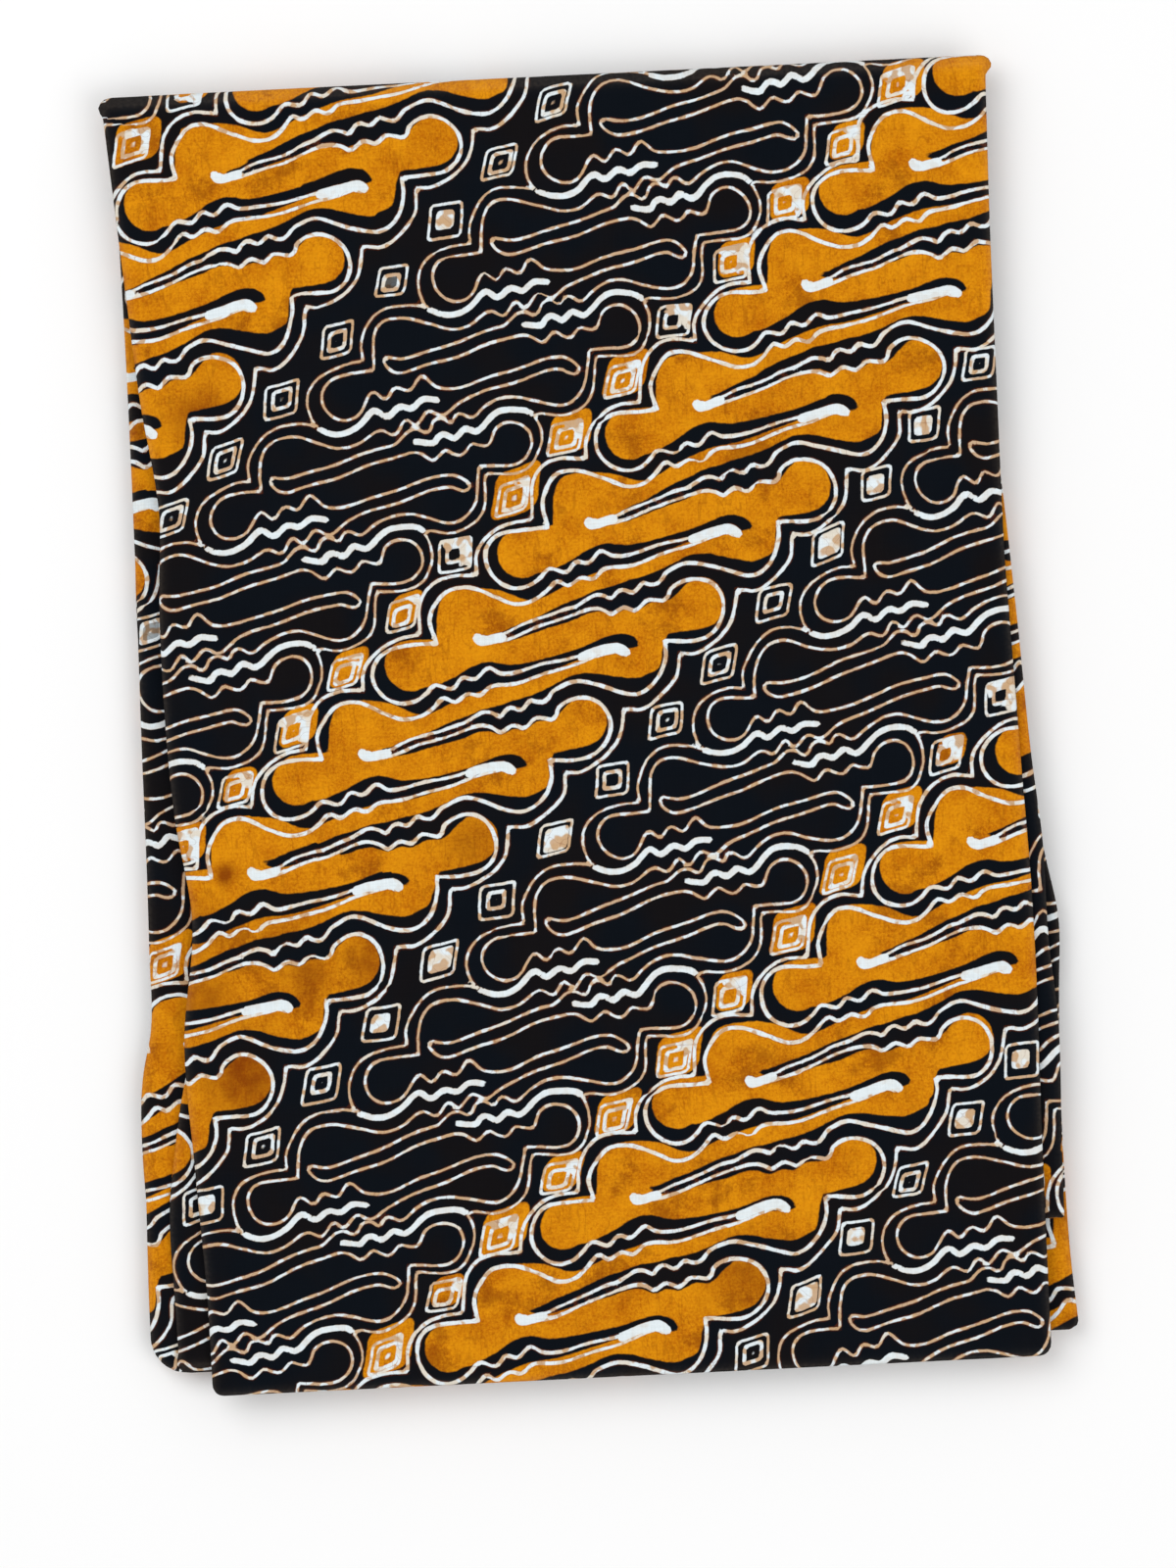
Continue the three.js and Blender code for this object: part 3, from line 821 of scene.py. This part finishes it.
def creased(x, y, creases):
    # sum of depth exp(-(d / width)^2) over the creases, d the distance to the crease's line,
    # which bends a little, fading towards both of its ends
    height = np.zeros_like(x)
    for x0, y0, x1, y1, depth, width in creases:
        length = math.hypot(x1 - x0, y1 - y0)
        ux, uy = (x1 - x0) / length, (y1 - y0) / length
        along = (x - x0) * ux + (y - y0) * uy
        bend = 0.9 * np.sin(along / 17 + x0) + 0.4 * np.sin(along / 6.1 + y0)
        across = (y - y0) * ux - (x - x0) * uy + bend
        fade = np.clip(along / (0.25 * length), 0, 1) * np.clip((length - along) / (0.25 * length), 0, 1)
        height += depth * np.exp(-(across / width) ** 2) * smoothStep(fade)
    return height


def stretchFace(settings, sides):
    # grid of the face: x = left(y) + u (right(y) - left(y)), y = foot .. head, its corners
    # rounded; and the distance of each point from the nearest edge
    rim = settings["rim"]
    footY = settings["foot"] + rim
    headY = settings["head"] - rim
    fine, coarse, fineWidth = settings["spacing"]
    v = spacedSteps(headY - footY, fine, settings.get("rowSpacing", coarse), fineWidth)
    u = spacedSteps(sides[0][2] - sides[0][1], fine, coarse, fineWidth)
    footLeft, footRight, headLeft, headRight = settings["corners"]
    left = through(sides, 1, footY + v) + cornerInset(v, footLeft) + cornerInset(v[-1] - v, headLeft)
    right = through(sides, 2, footY + v) - cornerInset(v, footRight) - cornerInset(v[-1] - v, headRight)
    left = left[:, None] + rim + sideShift
    right = right[:, None] - rim + sideShift
    x = left + (right - left) * (u / u[-1])
    y = np.repeat((footY + v)[:, None], len(u), 1)
    if "notch" in settings:
        fromX, toX, lift = settings["notch"]
        inside = np.clip((x - fromX) / 3, 0, 1) * np.clip((toX - x) / 3, 0, 1)
        y = y + lift * inside * (1 - v[:, None] / v[-1]) ** 8
    fromEdge = np.minimum(np.minimum(x - left, right - x), np.minimum(y - footY, headY - y))
    return x, y, fromEdge


def lipProfile(settings, thickness, length):
    # rows down the rim: for each lip half an ellipse, out = rim sin f and down by 0.5 - 0.5 cos f
    # of its share of the thickness; the lower lips stand back by two sines of the length
    rim = settings["rim"]
    lips, steps = settings["lips"], settings["lipSteps"]
    f = np.pi * np.arange(1, steps + 1)[:, None] / steps
    bulge = np.maximum(np.sin(f), 0)
    drop, out = [], []
    for lip in range(lips):
        uneven = np.sin(length / (23 + 5 * lip) + 2.1 * lip) + 0.5 * np.sin(length / 7.3 + lip)
        setback = (0.35 * rim + settings["lipUneven"] * uneven) * (lip > 0)
        lipOut = rim * bulge - setback * np.sqrt(bulge)
        lipOut[-1] = -0.3 * rim
        drop.append((lip + 0.5 - 0.5 * np.cos(f)) / lips * thickness + 0 * length)
        out.append(lipOut)
    return np.vstack(drop), np.vstack(out)


def nosed(drop, out, nose, top, y):
    # where the stretch turns over, one round nose takes the place of the lips:
    # out = reach sin f, down by half the fall times 1 - cos f
    node, atHead = nose
    low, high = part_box(node)
    foldY = y.max() if atHead else y.min()
    reach = high.y / mm - foldY if atHead else foldY - low.y / mm
    weight = smoothStep(1 - np.abs(foldY - y) / noseBlend)
    f = np.pi * np.arange(1, len(drop) + 1)[:, None] / len(drop)
    drop = (1 - weight) * drop + weight * (top - low.z / mm) * 0.5 * (1 - np.cos(f))
    return drop, (1 - weight) * out + weight * reach * np.sin(f)


def laidPrint(x, y, laid):
    # flat cloth of a stretch that lies at another angle: the point of a chart that shows at one
    # place of the stretch, and the print's turn about it in degrees
    (seenX, seenY), centre, charted, degrees = laid
    c, s = math.cos(math.radians(degrees)), math.sin(math.radians(degrees))
    homeX, homeY = np.array(centre) + np.array(charted) + cloth["stripBand"] * bandStep
    dx, dy = x - seenX, y - seenY
    return np.stack([homeX + dx * c - dy * s, homeY + dx * s + dy * c], 1)


def clothObject(name, points, quads, hidden, flat, fold):
    # quads and one hidden face, with the flat cloth as UV map and the print's values at each point
    loops = np.concatenate([quads.ravel(), hidden])
    starts = np.arange(len(quads) + 1) * 4
    mesh = bpy.data.meshes.new(name)
    mesh.vertices.add(len(points))
    mesh.vertices.foreach_set("co", (points * mm).ravel())
    mesh.loops.add(len(loops))
    mesh.loops.foreach_set("vertex_index", loops.astype(np.int32))
    mesh.polygons.add(len(starts))
    mesh.polygons.foreach_set("loop_start", starts.astype(np.int32))
    mesh.update(calc_edges=True)
    mesh.polygons.foreach_set("use_smooth", np.ones(len(starts), bool))
    mesh.uv_layers.new(name="flatCloth").data.foreach_set("uv", (flat[loops] * uvUnit).ravel())
    for key, values in {**printFields(flat), "fold": fold}.items():
        mesh.attributes.new(key, "FLOAT", "POINT").data.foreach_set("value", values.astype(np.float32))
    mesh.materials.append(cottonMaterial)
    mesh.validate()
    piece = bpy.data.objects.new(name, mesh)
    bpy.context.scene.collection.objects.link(piece)
    print("cloth:", name, len(quads) * 2 + len(hidden) - 2, "triangles")
    return piece


def foldedStretch(name, node, settings, sides, relief, flatOf=None):
    # face z = top + relief; round it a rim of folded lips that goes down, then one hidden face:
    # closed, with its thickness from the node's box
    low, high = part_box(node)
    top = high.z / mm
    bottom = low.z / mm
    faceX, faceY, fromEdge = stretchFace(settings, sides)
    faceZ = top + relief(faceX, faceY)
    border = edgeOrder(*faceX.shape)
    edgeX, edgeY, edgeZ = (face.ravel()[border] for face in (faceX, faceY, faceZ))
    alongX = np.roll(edgeX, -2) - np.roll(edgeX, 2)
    alongY = np.roll(edgeY, -2) - np.roll(edgeY, 2)
    size = np.maximum(np.hypot(alongX, alongY), 1e-9)
    outX, outY = alongY / size, -alongX / size
    length = np.concatenate([[0], np.cumsum(np.hypot(np.diff(edgeX), np.diff(edgeY)))])

    drop, out = lipProfile(settings, top - bottom, length)
    under = [[-underTurn]]
    if "nose" in settings:
        drop, out = nosed(drop, out, settings["nose"], top, edgeY)
        under = [[-noseTurn], [-underTurn]]
    drop = np.vstack([drop, np.full((len(under), len(border)), top - bottom)])
    out = np.vstack([out, np.repeat(under, len(border), 1)])
    walk = np.cumsum(np.hypot(np.diff(out, axis=0, prepend=0), np.diff(drop, axis=0, prepend=0)), axis=0)

    def joined(face, ring):
        return np.concatenate([face.ravel(), ring.ravel()])

    points = np.stack([joined(faceX, edgeX + outX * out), joined(faceY, edgeY + outY * out),
                       joined(faceZ, edgeZ - drop)], 1)
    index = np.arange(faceX.size).reshape(faceX.shape)
    rings = np.vstack([border, faceX.size + np.arange(out.size).reshape(out.shape)])
    after = np.roll(rings, -1, 1)
    quads = np.vstack([
        np.stack([index[:-1, :-1], index[:-1, 1:], index[1:, 1:], index[1:, :-1]], -1).reshape(-1, 4),
        np.stack([rings[:-1], rings[1:], after[1:], after[:-1]], -1).reshape(-1, 4),
    ])
    hidden = rings[-1][::-1]
    if settings.get("faceDown"):
        points[:, 2] = top + bottom - points[:, 2]
        quads = quads[:, ::-1]
        hidden = hidden[::-1]

    flatX = joined(faceX, edgeX + outX * walk)
    flatY = joined(faceY, edgeY + outY * walk)
    flat = flatOf(flatX, flatY) if flatOf else laidPrint(flatX, flatY, settings["print"])
    fold = joined(np.exp(-fromEdge / 0.8), np.ones(out.size))     # 1 on an edge, fading inwards
    piece = clothObject(name, points, quads, hidden, flat, fold)
    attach(piece, "root")
    return piece


# In each dictionary: rim is how far the lips bulge, corners are the radii at the foot's left and
# right and the head's left and right, spacing is fine, coarse and the width of the fine part, lips
# are the folds that show at the edge, and a nose names the node whose box its round fold fills.
# Each list of sides has rows of y, left x and right x.
topSettings = {
    "rim": 0.7,
    "foot": -209.5,
    "head": 207.0,
    "corners": (2.8, 3.4, 2.5, 0.8),
    "spacing": (1.22, 1.22, 4.0),
    "lips": 2,
    "lipSteps": 4,
    "lipUneven": 0.25,
    "nose": ("head_fold", True),              # True at the head, False at the foot
    "sag": 1.1,
    "footSag": 1.0,
}
topSides = [
    (209.5, -150, 134.8), (150, -145.3, 133.7), (112, -142.1, 133.5), (72, -137.6, 133.3),
    (50, -138.8, 133.3), (20, -139.2, 134.2), (-22, -137.5, 135.5), (-57, -133.4, 136.7),
    (-95, -137.8, 136.9), (-140, -136.2, 136.2), (-180, -134.4, 136.0), (-209.6, -134.1, 136.0),
]
topCreases = [
    # from x, y to x, y, height (a trough is below nought), width
    (-121, -40, -117, -92, -0.35, 2.2),
    (-114, -44, -112, -80, 0.25, 2.6),
    (-117, -128, -113, -150, -0.45, 2.0),
    (-128, 40, -124, 96, 0.22, 2.4),
    (-60, 206, -57, 60, 0.12, 3.0),
    (88, 203, 84, -40, 0.12, 3.4),
    (12, -60, 8, -200, -0.12, 3.0),
    (-96, -180, -60, -196, 0.2, 3.0),
    (110, -150, 118, -205, -0.2, 2.6),
]


def topRelief(x, y):
    # slow swells, a sag at the left edge and the right foot, and the creases
    swell = (0.16 * np.sin(x / 31 + 0.6) * np.sin(y / 47 + 1.1) + 0.10 * np.sin(x / 14 - y / 39)
             + 0.08 * np.sin(y / 19 + x / 60 + 2))
    leftSag = topSettings["sag"] * np.exp(-np.maximum(x + 134, 0) / 7)
    rightSag = np.exp(-np.maximum(140 - x, 0) / 8) * np.clip((-160 - y) / 12, 0, 1)
    return swell - 0.16 - leftSag - topSettings["footSag"] * rightSag + creased(x, y, topCreases)


def makeTop():
    # its print lies straight, so the flat cloth is x and y themselves
    piece = foldedStretch("topStretch", "top_panel", topSettings, topSides, topRelief,
                          lambda x, y: np.stack([x, y], 1))
    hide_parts("top_panel", "head_fold")
    return piece


tuckedSettings = {
    "rim": 0.35,
    "foot": -165.6,
    "head": 200.0,
    "corners": (0.5, 0.6, 0.5, 0.5),
    "spacing": (1.2, 5.0, 26.0),
    "rowSpacing": 1.2,
    "lips": 2,
    "lipSteps": 3,
    "lipUneven": 0.12,
    # where a point of the charts shows: the place, the blade's centre, the point, the turn
    "print": ((141.7, -128.2), cloth["blackCentre"], blackRight["notch"], -3.0),
}
tuckedSides = [
    (200, -126, 130.5), (100, -126, 131.5), (63, -126, 134.3), (26, -126, 136.6), (-16, -126, 138.9),
    (-44, -126, 141.2), (-78, -126, 141.7), (-98, -126, 143.3), (-140, -126, 142.7), (-165.6, -126, 142.3),
]


def tuckedRelief(x, y):
    # slow waves on the strip that shows
    return 0.08 * np.sin(y / 13) * np.clip((x - 120) / 20, 0, 1) - 0.08


def makeTucked():
    piece = foldedStretch("tuckedEnd", "tucked_end", tuckedSettings, tuckedSides, tuckedRelief)
    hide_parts("tucked_end")
    return piece


secondSettings = {
    "rim": 0.6,
    "foot": -199.7,
    "head": 206.0,
    "corners": (3.0, 3.0, 2.0, 1.0),
    "spacing": (1.2, 6.0, 30.0),
    "rowSpacing": 1.2,
    "lips": 2,
    "lipSteps": 4,
    "lipUneven": 0.3,
    "nose": ("foot_fold", False),
    "print": ((-132.2, -148.1), cloth["blackCentre"], diamondChart["cleanRow"][0], -3.0),
}
secondSides = [
    (209.5, -148.4, 133.4), (150, -143.6, 132), (72, -135.4, 131.2), (20, -136.4, 131.2),
    (-57, -131.2, 132.4), (-92, -134.8, 133.6), (-119, -140.8, 134), (-155, -145.5, 134),
    (-175, -145.2, 134), (-202, -144.6, 134),
]
secondCreases = [
    (-140, -150, -134, -200, -0.5, 1.6),
    (-139, -176, -128, -168, 0.45, 1.3),
    (-140, -186, -130, -180, -0.4, 1.2),
    (-141, -194, -128, -189, 0.35, 1.2),
    (-136, -130, -134, -172, 0.3, 1.6),
]


def secondRelief(x, y):
    # the creases, and a slight sag at the left edge
    return creased(x, y, secondCreases) - 0.2 * np.exp(-np.maximum(x + 140, 0) / 4)


def makeSecond():
    piece = foldedStretch("secondStretch", "second_panel", secondSettings, secondSides, secondRelief)
    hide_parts("second_panel", "foot_fold")
    return piece


thirdSettings = {
    "rim": 0.6,
    "foot": -201.9,
    "head": 205.4,
    "corners": (11.0, 2.6, 3.0, 1.0),
    "spacing": (1.2, 6.0, 30.0),
    "rowSpacing": 1.2,
    "lips": 2,
    "lipSteps": 4,
    "lipUneven": 0.3,
    "print": ((-146.4, -173.4), cloth["orangeCentre"], orangeRight["notch"], -1.5),
    "rightPrint": ((146.0, -192.0), cloth["orangeCentre"], (-34.7, -15.5), -4.0),
    "notch": (-136.0, 138.0, 2.8),            # between these x the foot stands back by this
}
thirdSides = [
    (205.5, -147.4, 131), (150, -146.4, 131.4), (60, -146.4, 132.4), (0, -147.2, 136),
    (-52, -147.7, 142.4), (-66, -148, 145), (-93, -149, 144.3), (-104, -151.6, 143.8),
    (-150, -153, 143.2), (-180, -153.6, 144), (-202, -153.6, 145.6),
]
thirdCreases = [
    (-147, 60, -143, -20, 0.3, 1.8),
    (-146, -100, -141, -150, -0.35, 1.8),
    (-150, -170, -138, -196, 0.3, 1.6),
    (143, -176, 147, -198, 0.3, 1.5),
]


def thirdRelief(x, y):
    # the creases, and a sag at the left edge
    return creased(x, y, thirdCreases) - 0.5 * np.exp(-np.maximum(x + 147, 0) / 3)


def thirdFlat(x, y):
    # the right side came round from another ply, so its print lies elsewhere: one print fades
    # evenly into the other from x = -100 to 100
    across = np.clip((x[:, None] + 100) / 200, 0, 1)
    return ((1 - across) * laidPrint(x, y, thirdSettings["print"])
            + across * laidPrint(x, y, thirdSettings["rightPrint"]))


def makeThird():
    piece = foldedStretch("thirdStretch", "third_panel", thirdSettings, thirdSides, thirdRelief, thirdFlat)
    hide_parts("third_panel")
    return piece


hiddenSettings = {
    "rim": 1.6,
    "foot": -200.4,
    "head": 204.4,
    "corners": (9.0, 4.0, 3.0, 3.0),
    "spacing": (1.7, 1.7, 4.0),
    "lips": 6,
    "lipSteps": 4,
    "lipUneven": 0.45,
    "faceDown": True,
    "print": ((0, 0), cloth["blackCentre"], (0, 0), 0.0),
}
hiddenSides = [
    (204.5, -146.2, 130.6), (100, -144.6, 131.6), (0, -145.8, 134.6), (-60, -146.4, 141.6),
    (-110, -149.6, 142), (-200.5, -151.6, 142.6),
]


def makeHidden():
    # level, without creases
    piece = foldedStretch("hiddenStretches", "folded_core", hiddenSettings, hiddenSides, lambda x, y: 0 * x)
    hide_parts("folded_core")
    return piece


# floor, light and camera
studio = {
    "viewTurn": 2.8,          # degrees the bundle stands anticlockwise in the picture
    "viewCentre": (-0.1, -18.7),
    "frameHeight": 504.0,     # of the bundle's top that the picture shows from top to bottom
    "distance": 2.4,          # metres above the floor
    "pictureHeight": 24.0,    # of the camera's sensor
    "floorSize": 6.0,
    "floorDrop": 0.0002,      # metres below the bundle
    "floorColour": (0.93, 0.93, 0.93),
    "floorRoughness": 0.9,
    "floorSpecular": 0.1,
    "worldStrength": 0.57,
    # square lights: place and side in metres, power in watts
    "lights": {
        "keyLight": ((-1.0, 0.9, 2.1), 1.9, 27),
        "fillLight": ((1.2, -0.9, 2.1), 1.9, 19),
    },
}


def makeFloor():
    half = studio["floorSize"] / 2
    drop = -studio["floorDrop"]
    mesh = bpy.data.meshes.new("floor")
    mesh.from_pydata([(-half, -half, drop), (half, -half, drop), (half, half, drop), (-half, half, drop)],
                     [], [(0, 1, 2, 3)])
    floor = bpy.data.objects.new("floor", mesh)
    bpy.context.scene.collection.objects.link(floor)
    material = bpy.data.materials.new("paleFloor")
    material.use_nodes = True
    shader = material.node_tree.nodes["Principled BSDF"]
    shader.inputs["Base Color"].default_value = (*studio["floorColour"], 1)
    shader.inputs["Roughness"].default_value = studio["floorRoughness"]
    shader.inputs["Specular IOR Level"].default_value = studio["floorSpecular"]
    mesh.materials.append(material)


def makeLights():
    # each light is turned to the middle of the bundle; the world adds an even white
    for name, (place, size, power) in studio["lights"].items():
        data = bpy.data.lights.new(name, "AREA")
        data.size = size
        data.energy = power
        lamp = bpy.data.objects.new(name, data)
        lamp.location = place
        x, y, z = place
        lamp.rotation_euler = (math.atan2(math.hypot(x, y), z), 0, math.atan2(x, -y))
        bpy.context.scene.collection.objects.link(lamp)
    world = bpy.data.worlds.new("studio")
    world.use_nodes = True
    background = world.node_tree.nodes["Background"]
    background.inputs["Color"].default_value = (1, 1, 1, 1)
    background.inputs["Strength"].default_value = studio["worldStrength"]
    bpy.context.scene.world = world


def makeCamera():
    # straight above, with a lens that fits frameHeight of the bundle's top into the picture
    scene = bpy.context.scene
    scene.view_settings.view_transform = "Standard"
    data = bpy.data.cameras.new("camera")
    data.type = "PERSP"
    data.sensor_fit = "VERTICAL"
    data.sensor_height = studio["pictureHeight"]
    toTop = studio["distance"] - cadHigh.z
    data.lens = studio["pictureHeight"] * toTop / (studio["frameHeight"] * mm)
    camera = bpy.data.objects.new("camera", data)
    x, y = studio["viewCentre"]
    camera.location = (x * mm, y * mm, studio["distance"])
    camera.rotation_euler = (0, 0, -math.radians(studio["viewTurn"]))
    scene.collection.objects.link(camera)
    scene.camera = camera


makeFloor()
makeLights()
makeCamera()
print("studio: floor, lights and camera")
makeHidden()
makeThird()
makeSecond()
makeTucked()
makeTop()
